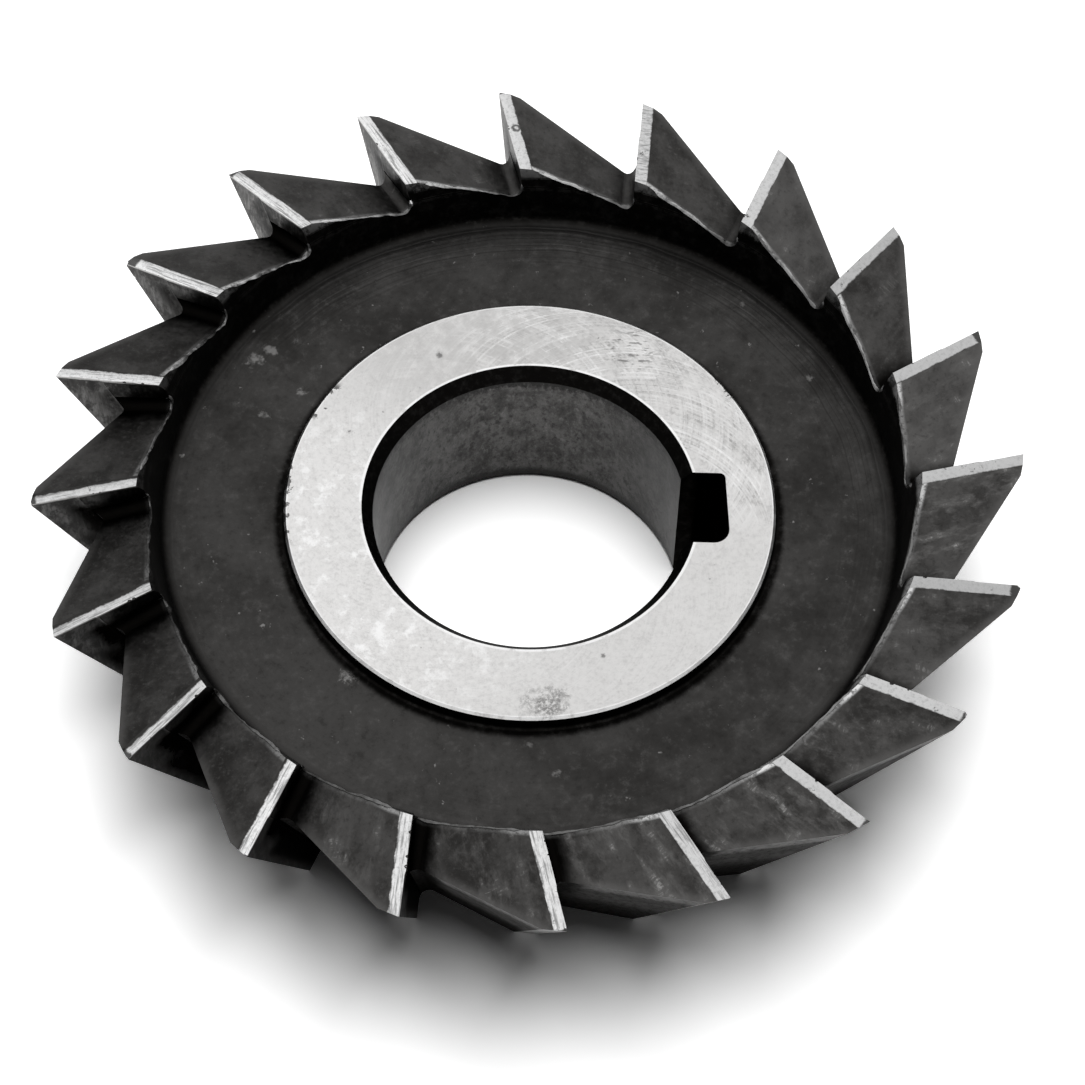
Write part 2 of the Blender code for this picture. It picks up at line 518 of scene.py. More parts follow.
def toothedBodyTree():
    tree = bpy.data.node_groups.new("toothedBody", "GeometryNodeTree")
    tree.interface.new_socket("Body", in_out="OUTPUT", socket_type="NodeSocketGeometry")
    sockets = {
        "Geometry": ("Blank",),
        "Object": ("Gash", "Flute", "Face Land", "Side Land", "Keyway", "Chips", "Burr Line"),
        "Int": ("Teeth",),
        "Float": ("First Tooth", "Burr Radius", "Burr Waves", "Burr Wander", "Seed"),
        "Material": ("Steel", "Burr Steel"),
    }
    for kind, names in sockets.items():
        for name in names:
            tree.interface.new_socket(name, in_out="INPUT", socket_type="NodeSocket" + kind)
    given = tree.nodes.new("NodeGroupInput").outputs
    result = tree.nodes.new("NodeGroupOutput")

    def add(kind, wires=None, **settings):
        return addNode(tree, "GeometryNode" + kind, wires, **settings).outputs[0]

    def shapeOf(name):
        return addNode(tree, "GeometryNodeObjectInfo", {"Object": given[name]}).outputs["Geometry"]

    def spun(source):
        return add("InstanceOnPoints", {"Points": points, "Instance": source, "Rotation": turn})

    points = add("Points", {"Count": given["Teeth"]})
    step = calc("DIVIDE", math.tau, given["Teeth"])
    angle = minus(given["First Tooth"], times(add("InputIndex"), step))
    euler = addNode(tree, "ShaderNodeCombineXYZ", {"Z": angle}).outputs[0]
    turn = addNode(tree, "FunctionNodeEulerToRotation", {"Euler": euler}).outputs[0]

    cut = addNode(tree, "GeometryNodeMeshBoolean", operation="DIFFERENCE", solver="EXACT")
    plug(given["Blank"], cut.inputs[0])
    for name in ("Gash", "Flute", "Face Land", "Side Land"):
        plug(spun(shapeOf(name)), cut.inputs[1])
    for name in ("Keyway", "Chips"):
        plug(shapeOf(name), cut.inputs[1])

    line = add("ResampleCurve", {"Curve": add("MeshToCurve", {"Mesh": shapeOf("Burr Line")}), "Count": 60})
    share = tree.nodes.new("GeometryNodeSplineParameter").outputs["Factor"]
    taper = anyOf(ramp(share, 0.05, 0.4, 1.0, 0.7), ramp(share, 0.7, 0.86, 0.7, 0.95))
    taper = allOf(taper, ramp(share, 0.0, 0.06, 0.2, 1.0), ramp(share, 0.97, 1.0, 1.0, 0.2))
    wires = {"Geometry": line, "Name": "taper", "Value": taper}
    tapered = add("StoreNamedAttribute", wires, data_type="FLOAT", domain="POINT")
    loose = add("RealizeInstances", {"Geometry": spun(tapered)})
    waves = times(given["Burr Waves"], 1 / mm)
    place, seed = add("InputPosition"), given["Seed"]
    wires = {"Vector": place, "W": seed, "Scale": waves, "Detail": 3.0, "Roughness": 0.6}
    ragged = addNode(tree, "ShaderNodeTexNoise", wires, noise_dimensions="4D").outputs
    stray = vectorMath("SUBTRACT", ragged["Color"], (0.5, 0.5, 0.5))
    stray = scaled(stray, times(given["Burr Wander"], 2.0))
    moved = add("SetPosition", {"Geometry": loose, "Offset": stretched(stray, (1.0, 1.0, 0.4))})
    wires = {"Value": ragged["Fac"], "From Min": 0.4, "From Max": 0.62, "To Min": 0.3, "To Max": 1.0}
    swell = addNode(tree, "ShaderNodeMapRange", wires).outputs[0]
    taper = add("InputNamedAttribute", {"Name": "taper"}, data_type="FLOAT")
    wires = {
        "Curve": moved,
        "Profile Curve": add("CurvePrimitiveCircle", {"Resolution": 5, "Radius": 1.0}),
        "Scale": allOf(swell, taper, given["Burr Radius"]),
        "Fill Caps": True,
    }
    wires = {"Geometry": add("CurveToMesh", wires), "Name": "burr", "Value": True}
    marked = add("StoreNamedAttribute", wires, data_type="BOOLEAN", domain="FACE")

    joined = tree.nodes.new("GeometryNodeJoinGeometry")
    plug(marked, joined.inputs[0])
    plug(cut.outputs[0], joined.inputs[0])
    real = add("RealizeInstances", {"Geometry": joined.outputs[0]})
    steel = add("SetMaterial", {"Geometry": real, "Material": given["Steel"]})
    isBurr = add("InputNamedAttribute", {"Name": "burr"}, data_type="BOOLEAN")
    wires = {"Geometry": steel, "Selection": isBurr, "Material": given["Burr Steel"]}
    plug(add("SetMaterial", wires), result.inputs[0])
    return tree


def makeBody(steel, burrSteel):
    shapes = {
        "Gash": gashCutter(),
        "Flute": fluteCutter(),
        "Face Land": landCutter("faceLand", faceEdge(), size["faceLand"], up),
        "Side Land": landCutter("sideLand", sideEdge(), size["sideLand"], Vector((1, 0, 0))),
        "Keyway": keywayCutter(),
        "Chips": chipStones(),
        "Burr Line": burrLine(),
    }
    helpers = {name: newObject(mesh.name, mesh) for name, mesh in shapes.items()}
    body = newObject("bodySource", turnedBlank())
    values = {
        **helpers,
        "Teeth": teeth,
        "First Tooth": rad["firstTooth"],
        "Burr Radius": burr["radius"] * mm,
        "Burr Waves": burr["raggedness"],
        "Burr Wander": burr["wander"] * mm,
        "Seed": float(burr["seed"]),
        "Steel": steel,
        "Burr Steel": burrSteel,
    }
    tree = toothedBodyTree()
    carve = body.modifiers.new("toothedBody", "NODES")
    carve.node_group = tree
    for item in tree.interface.items_tree:
        if item.in_out == "INPUT" and item.name in values:
            carve[item.identifier] = values[item.name]
    mesh = bakeMesh(body, "angleCutterBody")
    for helper in helpers.values():
        bpy.data.objects.remove(helper, do_unlink=True)
    return newObject("angleCutterBody", mesh)


# Materials: shared pieces

def tone(level, warm=0.0):
    # a near-grey colour from its 0 to 255 screen level
    parts = []
    for shift in (warm, 0.0, -warm):
        value = max(0.0, (level + shift) / 255)
        parts.append(value / 12.92 if value <= 0.04045 else ((value + 0.055) / 1.055) ** 2.4)
    return (*parts, 1.0)


def toothFrameGroup():
    # a shading point's place on its own tooth, in mm; Ahead is how far it is from the next rake face
    tree = bpy.data.node_groups.new("toothFrame", "ShaderNodeTree")
    place = scaled(tree.nodes.new("ShaderNodeTexCoord").outputs["Object"], 1 / mm)
    parts = addNode(tree, "ShaderNodeSeparateXYZ", {0: place}).outputs
    flat = addNode(tree, "ShaderNodeCombineXYZ", {0: parts[0], 1: parts[1]}).outputs[0]
    radius = addNode(tree, "ShaderNodeVectorMath", {0: flat}, operation="LENGTH").outputs["Value"]
    angle = calc("ARCTAN2", parts[1], parts[0])
    offset = cutterSizes["outerDiameter"] / 2 * math.sin(rad["rake"])
    lean = calc("ARCSINE", calc("DIVIDE", offset, calc("MAXIMUM", radius, offset)))
    start = rad["firstTooth"] + rad["rake"]
    turned = minus(minus(start, lean), angle)
    count = calc("FLOOR", plus(calc("DIVIDE", turned, pitch), ownRake))
    local = minus(plus(angle, times(count, pitch)), start)
    along = times(radius, calc("COSINE", local))
    behind = minus(-offset, times(radius, calc("SINE", local)))
    nextSine = calc("SINE", plus(local, pitch))
    ahead = plus(times(radius, nextSine), offset)
    depth = minus(cutterSizes["width"], parts[2])
    tooth = calc("MODULO", plus(count, float(4 * teeth)), float(teeth))
    apart = plus(depth, times(tooth, 17.3))
    onTooth = addNode(tree, "ShaderNodeCombineXYZ", {0: along, 1: behind, 2: apart}).outputs[0]
    # how far inside the side tooth's back, how far under the face tooth's back, how far from the cone
    tip, run, _ = sideEdge()
    alongAxis, _ = toothAxes(0)
    slope = run.dot(alongAxis) / run.z
    sideLand, reliefAngle = cutterSizes["sideLand"], rad["rake"] + rad["sideRelief"]
    coneEdge = minus(tip.dot(alongAxis) / mm, times(depth, slope))
    past = minus(behind, sideLand * math.cos(reliefAngle))
    backEdge = times(past, math.tan(rad["fluteBack"]))
    backEdge = plus(backEdge, sideLand * math.sin(reliefAngle))
    inside = minus(coneEdge, along)
    ridge = minus(inside, backEdge)
    faceLand = cutterSizes["faceLand"]
    past = minus(behind, faceLand * math.cos(rad["faceRelief"]) - cutterSizes["rakeStep"])
    backDepth = times(past, math.tan(rad["gashSlope"]))
    backDepth = plus(backDepth, faceLand * math.sin(rad["faceRelief"]))
    numbers = {"Along": along, "Behind": behind, "Ahead": ahead, "Depth": depth, "Tooth": tooth}
    numbers |= {"Radius": radius, "Ridge": ridge, "Below": minus(depth, backDepth), "Inside": inside}
    vectors = {"Place": place, "OnTooth": onTooth}
    for name in numbers:
        tree.interface.new_socket(name, in_out="OUTPUT", socket_type="NodeSocketFloat")
    for name in vectors:
        tree.interface.new_socket(name, in_out="OUTPUT", socket_type="NodeSocketVector")
    addNode(tree, "NodeGroupOutput", numbers | vectors)
    return tree


toothFrame = toothFrameGroup()


def cloud(vector, scale, detail=3.0, rough=0.55, shift=0.0):
    wires = {"Vector": vector, "W": shift, "Scale": scale, "Detail": detail, "Roughness": rough}
    return addNode(vector.id_data, "ShaderNodeTexNoise", wires, noise_dimensions="4D").outputs["Fac"]


def mixTone(share, first, second):
    wires = {0: share, 6: first, 7: second}
    return addNode(share.id_data, "ShaderNodeMix", wires, data_type="RGBA").outputs[2]


finishes = {}


def newFinish(name, metallic, roughness):
    material = bpy.data.materials.new(name)
    finishes[name] = material
    material.use_nodes = True
    tree = material.node_tree
    shader = tree.nodes["Principled BSDF"]
    shader.inputs["Metallic"].default_value = metallic
    shader.inputs["Roughness"].default_value = roughness
    spot = tree.nodes.new("ShaderNodeGroup")
    spot.node_tree = toothFrame
    return shader, spot.outputs


def finish(shader, colour, height, distance):
    # distance is the bump's full height in mm
    bump = addNode(shader.id_data, "ShaderNodeBump", {"Height": height, "Distance": distance * mm})
    plug(bump.outputs[0], shader.inputs["Normal"])
    plug(colour, shader.inputs["Base Color"])


# Finishes of the cutter

finishTones = {  # screen levels from 0 to 255
    "oxide": 62,
    "oxideLight": 94,
    "oxideDark": 34,
    "flute": 96,
    # near black, for painted shade in roots, recesses and the keyway
    "paintedShade": 9,
    "web": 55,
    "webLight": 66,
    # near black, for the painted shade on the recess wall and at the feet of the hub and the wall
    "wall": 12,
    "land": 255,
    "landDullAndShade": 188,
    "landStreak": 150,
    "hub": 230,
    "hubLow": 218,
    "hubStreakAndShade": 172,
    "bore": 49,
    "boreLight": 68,
    "pit": 24,
    "chamfer": 19,
    "bareSteel": 128,
}
toothWear = {  # by tooth, 1 nearest the top of the photograph and on clockwise
    "landDullAndShade": {
        1: 0.45, 2: 0.6, 3: 0.7, 4: 1.1, 5: 0.9, 6: 0.85, 7: 1.05, 8: 0.7, 9: 0.7, 10: 0.6,
        11: 0.35, 12: 0.3, 13: 0.15, 14: 0.5, 15: 0.55, 16: 0.45, 17: 0.15, 19: 0.05,
    },
    "wornTip": {  # mm
        1: 0.15, 5: 0.4, 7: 0.5, 8: 0.3, 9: 0.2, 11: 0.15, 14: 0.3, 16: 0.35, 18: 0.65, 19: 0.25,
    },
    "landNarrow": {4: 0.05, 12: 0.04, 13: 0.1, 14: 0.18, 15: 0.18, 16: 0.14, 17: 0.05},  # mm
    "crossGround": {1: 0.5, 2: 1.0, 3: 0.8, 4: 0.8, 5: 0.7, 6: 0.6, 7: 0.6, 8: 0.5, 9: 0.4},
    "scuffed": {
        1: 0.15, 2: 0.1, 3: 0.45, 4: 0.15, 5: 0.65, 6: 1.0, 7: 0.35, 8: 0.35, 9: 0.8, 10: 0.8,
        11: 0.5, 12: 0.6, 13: 0.1, 19: 0.3, 20: 0.2,
    },
    "lightBack": {
        1: 0.3, 2: 0.1, 3: 0.85, 4: 0.05, 5: 0.9, 6: 0.3, 7: 0.1, 10: 0.15, 12: 0.3,
        18: 0.3, 19: 0.3, 20: 0.35,
    },
    "burrBright": {
        1: 1.0, 2: 0.8, 3: 0.7, 4: 0.6, 5: 0.3, 6: 0.2, 7: 0.25, 8: 0.3, 9: 0.25, 10: 0.18, 11: 0.15,
        12: 0.15, 13: 0.18, 14: 0.18, 15: 0.2, 16: 0.4, 17: 0.75, 18: 1.0, 19: 1.0, 20: 1.0,
    },
    "cornerBright": {
        1: 0.7, 2: 0.6, 3: 0.6, 4: 0.7, 5: 0.6, 6: 0.6, 7: 0.75, 8: 0.85, 9: 0.85, 10: 0.6, 11: 0.25,
        12: 0.3, 13: 0.2, 14: 0.2, 15: 0.15, 16: 0.2, 17: 0.45, 18: 0.7, 19: 0.7, 20: 0.7,
    },
    "rakeBareAndSheen": {13: 0.05, 14: 0.05, 15: 0.15, 16: 0.25, 17: 0.45, 18: 0.32, 19: 0.85, 20: 0.8, 1: 0.65},
}


def shade(name, shift=0):
    return tone(finishTones[name] + shift, 1)


def coated(colour, share, name, shift=0):
    return mixTone(share, colour, shade(name, shift))


def perTooth(spot, kind):
    # one number for each tooth, read from a stepped ramp
    place = calc("DIVIDE", plus(spot["Tooth"], 0.5), float(teeth))
    stops = [(index / teeth, toothWear[kind].get(index + 1, 0.0)) for index in range(teeth)]
    return levelRamp(place, stops, "CONSTANT")


def roughened(value, noiseValue, amount):
    # the value, pushed to and fro by noise so that what follows it gets a ragged edge
    return plus(value, times(minus(noiseValue, 0.5), amount))


def distanceTo(place, x, y, z=9.7):
    return vectorMath("DISTANCE", place, (x, y, z), "Value")


def lineNoise(value, waves, detail=3.0, rough=0.6):
    wires = {"W": value, "Scale": waves, "Detail": detail, "Roughness": rough}
    return addNode(value.id_data, "ShaderNodeTexNoise", wires, noise_dimensions="1D").outputs["Fac"]


def dimGrazing(shader, share, plain=(1.0, 1.0, 1.0, 1.0)):
    # keeps dark places dark where they are seen at a glancing angle
    tint = mixTone(share, plain, (0.0, 0.0, 0.0, 1.0))
    plug(tint, shader.inputs["Specular Tint"])


def cornerWear(spot, noiseValue):
    # how bright the rubbed edge is, strongest beside the land
    bright = perTooth(spot, "cornerBright")
    behind = roughened(spot["Behind"], noiseValue, 1.2)
    fade = anyOf(fall(behind, 1.1, 2.5), ramp(behind, 1.4, 5.0, 0.3, 0.06))
    return allOf(bright, fade, ramp(noiseValue, 0.4, 0.54, 0.25, 1.0))


def wallLip(spot, noiseValue):
    # the strip of the tooth's back that runs along the wall's edge
    bevelTop, wallTop, _, _ = wallProfile()
    drop = cutterSizes["rimBevelDrop"]
    draft = math.tan(rad["wallDraft"])
    inward = times(spot["Depth"], draft)
    straight = minus(wallTop / mm + drop * draft, inward)
    inward = times(spot["Depth"], cutterSizes["rimBevel"] / drop)
    bevelled = minus(bevelTop / mm, inward)
    fromWall = minus(spot["Radius"], anyOf(straight, bevelled))
    return fall(roughened(fromWall, noiseValue, 0.3), 0.14, 0.32)


def toothOxideFinish():
    shader, spot = newFinish("toothOxide", 1.0, 0.42)
    broad = cloud(spot["Place"], 0.5, 4.0, 0.6)
    fine = cloud(spot["Place"], 3.6, 5.0, 0.75, 3.0)
    smudge = cloud(stretched(spot["OnTooth"], (0.7, 1.6, 1.0)), 0.75, 5.0, 0.7, 12.0)
    scratch = cloud(stretched(spot["OnTooth"], (6.0, 1.1, 1.0)), 1.3, 3.0, 0.6, 21.0)
    scuffed = perTooth(spot, "scuffed")
    colour = mixTone(ramp(broad, 0.36, 0.64), shade("oxide", -13), shade("oxide", 12))
    lighter = perTooth(spot, "lightBack")
    lighter = allOf(lighter, ramp(broad, 0.3, 0.6, 0.5, 1.0))
    colour = coated(colour, lighter, "oxideLight", -4)
    colour = coated(colour, ramp(fine, 0.5, 0.7, 0.0, 0.5), "oxideLight", 2)
    colour = coated(colour, ramp(fine, 0.5, 0.32, 0.0, 0.5), "oxideDark", 2)
    rubbed = allOf(ramp(smudge, 0.46, 0.62), scuffed, 0.75)
    colour = coated(colour, rubbed, "oxideLight", 10)
    bright = allOf(ramp(smudge, 0.56, 0.68), ramp(scratch, 0.48, 0.6), scuffed)
    colour = coated(colour, bright, "bareSteel", 34)
    awayFromRoot = ramp(spot["Ahead"], 0.9, 2.2)
    # the ridge along the back is lighter, partly wear and partly a painted highlight
    ridge = ramp(roughened(spot["Ridge"], fine, 1.1), 0.0, 0.7, 0.6, 0.0)
    colour = coated(colour, allOf(ridge, awayFromRoot), "oxideLight", 4)
    # painted shade: dark in the gash's root before the next rake face and on the narrow ledge under the
    # land, less towards the far side; the same share dims the reflections there
    root = fall(roughened(spot["Ahead"], broad, 0.8), 0.62, 1.5)
    lessRootShade = ramp(distanceTo(spot["Place"], 5.0, 22.0, 10.0), 11.0, 20.0, 0.8, 0.0)
    root = allOf(root, minus(1.0, lessRootShade))
    ledge = allOf(fall(spot["Behind"], 0.12, 0.2), ramp(spot["Depth"], 0.2, 0.4))
    root = anyOf(root, ledge)
    colour = coated(colour, root, "paintedShade")
    wear = allOf(wallLip(spot, fine), cornerWear(spot, fine))
    colour = mixTone(wear, colour, tone(finishTones["land"]))
    dimGrazing(shader, root)
    plug(ramp(fine, 0.3, 0.7, 0.36, 0.54), shader.inputs["Roughness"])
    finish(shader, colour, fine, 0.02)


def fluteOxideFinish():
    # the backs of the side teeth, with painted shade that makes them nearly black towards the small end
    # and in the roots, and a painted highlight along the ridge
    shader, spot = newFinish("fluteOxide", 0.15, 0.55)
    broad = cloud(spot["Place"], 0.6, 4.0, 0.6, 7.0)
    fine = cloud(stretched(spot["Place"], (1.0, 1.0, 0.4)), 3.0, 5.0, 0.75, 3.0)
    colour = mixTone(ramp(broad, 0.36, 0.64), shade("flute", -14), shade("flute", 6))
    colour = coated(colour, ramp(fine, 0.48, 0.66, 0.0, 0.5), "oxideDark", 8)
    colour = coated(colour, ramp(fine, 0.46, 0.3, 0.0, 0.4), "oxideLight", 10)
    # painted shade: darker towards the small end and under the ridge
    low = ramp(roughened(spot["Depth"], broad, 3.0), 2.0, 9.0, 0.0, 0.95)
    underRidge = ramp(roughened(spot["Below"], fine, 1.6), 0.7, 2.4, 0.0, 0.6)
    low = anyOf(low, underRidge)
    colour = coated(colour, low, "paintedShade")
    root = fall(roughened(spot["Ahead"], broad, 0.8), 0.9, 2.0)
    colour = coated(colour, root, "paintedShade")
    awayFromRoot = ramp(spot["Ahead"], 0.9, 2.2)
    # painted highlight: a lighter line along the ridge
    ridge = ramp(roughened(spot["Below"], fine, 0.9), 0.0, 0.6, 0.6, 0.0)
    ridge = allOf(ridge, awayFromRoot)
    colour = coated(colour, ridge, "oxideLight", 16)
    unshaded = ramp(anyOf(low, root), 0.0, 0.6, 1.0, 0.1)
    sheen = allOf(unshaded, ramp(fine, 0.36, 0.62, 0.42, 0.06))
    plug(sheen, shader.inputs["Specular IOR Level"])
    dimGrazing(shader, anyOf(low, root), tone(200))
    finish(shader, colour, fine, 0.03)


def rakeSteelFinish():
    shader, spot = newFinish("rakeSteel", 1.0, 0.45)
    blots = cloud(stretched(spot["OnTooth"], (1.3, 1.0, 0.8)), 0.9, 6.0, 0.75, 8.0)
    streak = cloud(stretched(spot["OnTooth"], (5.0, 1.0, 0.7)), 1.1, 4.0, 0.65, 2.0)
    inside = roughened(spot["Inside"], blots, 1.2)
    # a lighter strip along the cone edge, partly a painted reflection of the floor, and bare steel
    # patches, both set per tooth
    nearCone = fall(inside, 0.6, 1.8)
    bareAndSheen = perTooth(spot, "rakeBareAndSheen")
    dark = mixTone(ramp(blots, 0.4, 0.62), shade("oxideDark", -12), shade("oxideLight", -26))
    light = mixTone(ramp(streak, 0.35, 0.68), shade("oxide", 4), shade("bareSteel", 2))
    light = mixTone(ramp(blots, 0.56, 0.44, 0.0, 0.8), light, shade("oxideDark", 2))
    coneShare = allOf(nearCone, ramp(bareAndSheen, 0.0, 1.0, 0.3, 1.0))
    faceShare = allOf(bareAndSheen, ramp(blots, 0.42, 0.58), 0.85)
    colour = mixTone(anyOf(coneShare, faceShare), dark, light)
    # painted shade: dark in the root and deep down the rake face, less where the rake is lighter
    aboveRoot = minus(times(spot["Along"], gashRoot[0]), gashRoot[1])
    aboveRoot = roughened(minus(aboveRoot, spot["Depth"]), blots, 0.8)
    insideRagged = roughened(spot["Inside"], blots, 3.0)
    root = allOf(fall(aboveRoot, 0.75, 1.5), ramp(insideRagged, 0.8, 1.7))
    deep = allOf(
        ramp(roughened(spot["Depth"], blots, 4.0), 2.4, 4.4, 0.0, 0.9),
        ramp(inside, 0.0, 0.7),
    )
    dimRake = fall(bareAndSheen, 0.15, 0.45)
    root = allOf(root, ramp(dimRake, 0.0, 1.0, 0.4, 1.0))
    deep = anyOf(root, allOf(deep, dimRake))
    colour = coated(colour, deep, "paintedShade", 5)
    dimGrazing(shader, allOf(deep, 0.7))
    lip = ramp(roughened(spot["Depth"], blots, 0.3), 0.06, 0.15, 0.75, 0.0)
    colour = coated(colour, lip, "landDullAndShade")
    finish(shader, colour, plus(streak, blots), 0.02)


def landGroundFinish():
    shader, spot = newFinish("landGround", 1.0, 0.32)
    # the lands' grey by tooth: partly dull grinding and partly painted shade, greyer on the right-hand
    # teeth
    dull = perTooth(spot, "landDullAndShade")
    cross = perTooth(spot, "crossGround")
    worn = perTooth(spot, "wornTip")
    narrow = perTooth(spot, "landNarrow")
    fine = cloud(spot["OnTooth"], 5.0, 4.0, 0.75)
    lengthways = cloud(stretched(spot["OnTooth"], (0.6, 9.0, 3.0)), 1.0, 4.0, 0.65, 3.0)
    across = cloud(stretched(spot["OnTooth"], (9.0, 1.0, 3.0)), 1.0, 4.0, 0.7, 6.0)
    plain = minus(1.0, times(cross, 0.6))
    streaks = anyOf(allOf(across, cross), allOf(lengthways, plain))
    colour = mixTone(dull, tone(finishTones["land"]), tone(finishTones["landDullAndShade"]))
    colour = mixTone(ramp(fine, 0.45, 0.72, 0.0, 0.5), colour, tone(finishTones["landStreak"]))
    streaked = ramp(streaks, 0.47, 0.63, 0.0, 0.85)
    colour = mixTone(streaked, colour, tone(finishTones["landStreak"] - 12))
    ragged = cloud(spot["Place"], 1.8, 5.0, 0.7, 5.0)
    edge = plus(roughened(spot["Behind"], ragged, 0.35), narrow)
    onFace = fall(spot["Depth"], 0.1, 0.14)
    over = allOf(ramp(edge, 0.54, 0.64), onFace)
    colour = coated(colour, over, "oxide")
    side = ramp(spot["Depth"], 0.12, 0.2, 0.0, 0.7)
    colour = coated(colour, side, "oxideLight")
    spots = ramp(cloud(spot["Place"], 1.6, 5.0, 0.75, 9.0), 0.62, 0.69, 0.0, 0.85)
    ringAway = roughened(distanceTo(spot["Place"], -1.35, 22.5, 12.0), fine, 0.3)
    ring = allOf(ramp(ringAway, 0.08, 0.16), ramp(ringAway, 0.3, 0.22), 0.8)
    spots = anyOf(spots, ring)
    toTip = roughened(minus(tipAlong, spot["Along"]), ragged, 0.5)
    wornOff = ramp(minus(worn, toTip), -0.06, 0.06, 0.0, 0.9)
    colour = coated(colour, anyOf(spots, wornOff), "oxideDark", 6)
    plug(ramp(fine, 0.3, 0.7, 0.26, 0.42), shader.inputs["Roughness"])
    finish(shader, colour, plus(streaks, fine), 0.008)


webScuffs = (  # places, widths in mm and strengths
    (-14.7, 9.0, 0.5, 0.6), (-13.9, 9.7, 0.4, 0.5), (-13.9, 5.6, 0.4, 0.5), (-12.1, 7.1, 0.35, 0.5),
    (-12.6, 10.3, 0.25, 0.3), (-8.5, -10.1, 0.5, 0.7), (-8.9, -9.8, 0.35, 0.5), (14.5, 8.9, 0.25, 0.4),
    (10.9, 13.5, 0.2, 0.4), (1.7, -15.0, 0.25, 0.35), (0.3, -13.4, 0.2, 0.3),
)


def recessOxideFinish():
    shader, spot = newFinish("recessOxide", 1.0, 0.46)
    place = spot["Place"]
    radius = spot["Radius"]
    rings = lineNoise(roughened(radius, cloud(place, 0.3, 1.0, 0.5, 1.0), 0.5), 5.0, 4.0)
    broad = cloud(place, 0.22, 4.0, 0.65)
    fine = cloud(place, 1.6, 6.0, 0.75, 4.0)
    colour = mixTone(ramp(broad, 0.36, 0.64), shade("web", -3), shade("webLight", 2))
    leftSide = ramp(distanceTo(place, -9.0, -12.5, 8.8), 3.0, 10.0, 0.9, 0.0)
    colour = coated(colour, leftSide, "webLight", 3)
    colour = coated(colour, ramp(fine, 0.5, 0.72, 0.0, 0.6), "oxideLight", -6)
    colour = coated(colour, ramp(fine, 0.5, 0.3, 0.0, 0.5), "oxideDark", 4)
    arcPatches = ramp(cloud(place, 0.2, 3.0, 0.6, 15.0), 0.42, 0.6)
    farSide = ramp(distanceTo(place, 6.0, 16.0), 12.0, 26.0, 1.0, 0.15)
    nearWall = allOf(ramp(radius, 15.2, 17.6), farSide)
    ridges = ramp(rings, 0.5, 0.7)
    turned = allOf(ridges, nearWall, ramp(fine, 0.3, 0.65), arcPatches, 0.6)
    colour = coated(colour, turned, "oxideLight", 4)
    trough = allOf(ramp(rings, 0.5, 0.32), nearWall, 0.5)
    colour = coated(colour, trough, "oxideDark", -6)
    specks = ramp(cloud(place, 2.1, 3.0, 0.65, 7.0), 0.67, 0.75, 0.0, 0.8)
    colour = coated(colour, specks, "bareSteel", 10)
    crumbs = cloud(place, 1.8, 4.0, 0.7, 44.0)
    for x, y, width, strength in webScuffs:
        away = roughened(distanceTo(place, x, y, 8.8), crumbs, width * 4)
        scuff = ramp(away, width * 0.3, width, strength, 0.0)
        scuff = allOf(scuff, ramp(fine, 0.42, 0.58))
        colour = coated(colour, scuff, "bareSteel", 30)
    # painted shade: near black at the hub's foot, in the corner at the wall's foot and on the wall
    hubFoot = ramp(roughened(radius, fine, 0.15), 12.8, 13.15, 0.95, 0.0)
    corner = ramp(roughened(radius, fine, 1.0), 18.05, 18.75, 0.0, 0.95)
    wallTone = mixTone(ramp(fine, 0.46, 0.66), shade("wall", -4), shade("wall", 22))
    colour = mixTone(anyOf(hubFoot, corner), colour, wallTone)
    wallLines = ramp(lineNoise(spot["Depth"], 4.0, 4.0), 0.5, 0.6)
    high = ramp(roughened(spot["Depth"], fine, 1.5), 1.7, 0.5)
    onWall = allOf(high, ramp(radius, 18.8, 18.9), 0.7)
    wallLines = allOf(wallLines, ramp(fine, 0.42, 0.56), onWall)
    colour = coated(colour, wallLines, "oxideLight")
    rim = ramp(roughened(radius, fine, 0.2), 19.4, 19.55, 0.0, 0.9)
    worn = ramp(fine, 0.4, 0.62)
    bevelTone = mixTone(worn, shade("oxideDark", -12), shade("oxideLight", -34))
    # painted light: the rubbed bevel is brighter towards the lower right and dimmer where it faces away
    # from the light
    rightSide = ramp(distanceTo(place, 14.0, -14.0, 11.8), 14.0, 26.0, 1.0, 0.15)
    rubbed = allOf(cornerWear(spot, fine), rightSide)
    bevelTone = mixTone(rubbed, bevelTone, tone(finishTones["land"]))
    colour = mixTone(rim, colour, bevelTone)
    height = plus(fine, times(rings, allOf(nearWall, 0.8)))
    finish(shader, colour, height, 0.02)


hubMarks = {  # places in mm on the hub's face
    # each swirl has its arcs' radius and offset, its side, waves and strength
    "darkSwirls": ((7.0, 5.6, -1, 4.6, 1.0), (7.0, 5.6, 1, 4.2, 0.8), (9.5, 4.6, -1, 3.1, 0.6)),
    "lightSwirls": ((7.0, 5.6, -1, 3.4, 1.0), (7.0, 5.6, 1, 3.0, 0.7)),
    "strongSwirl": ((3.2, 10.0, 8.0), (10.3, 3.6, 5.5)),
    "brightSide": (-9.5, -5.0),
    "stain": (1.1, -11.7),
    "nicks": ((-4.93, 9.06, 0.18), (3.84, -8.8, 0.12), (-9.4, 4.1, 0.1)),
    "dashes": (5.0, 9.7),
    "rimSpecks": ((-12.3, 0.2, 3.2), (-11.0, 6.1, 1.5), (9.7, 7.7, 1.2)),
}


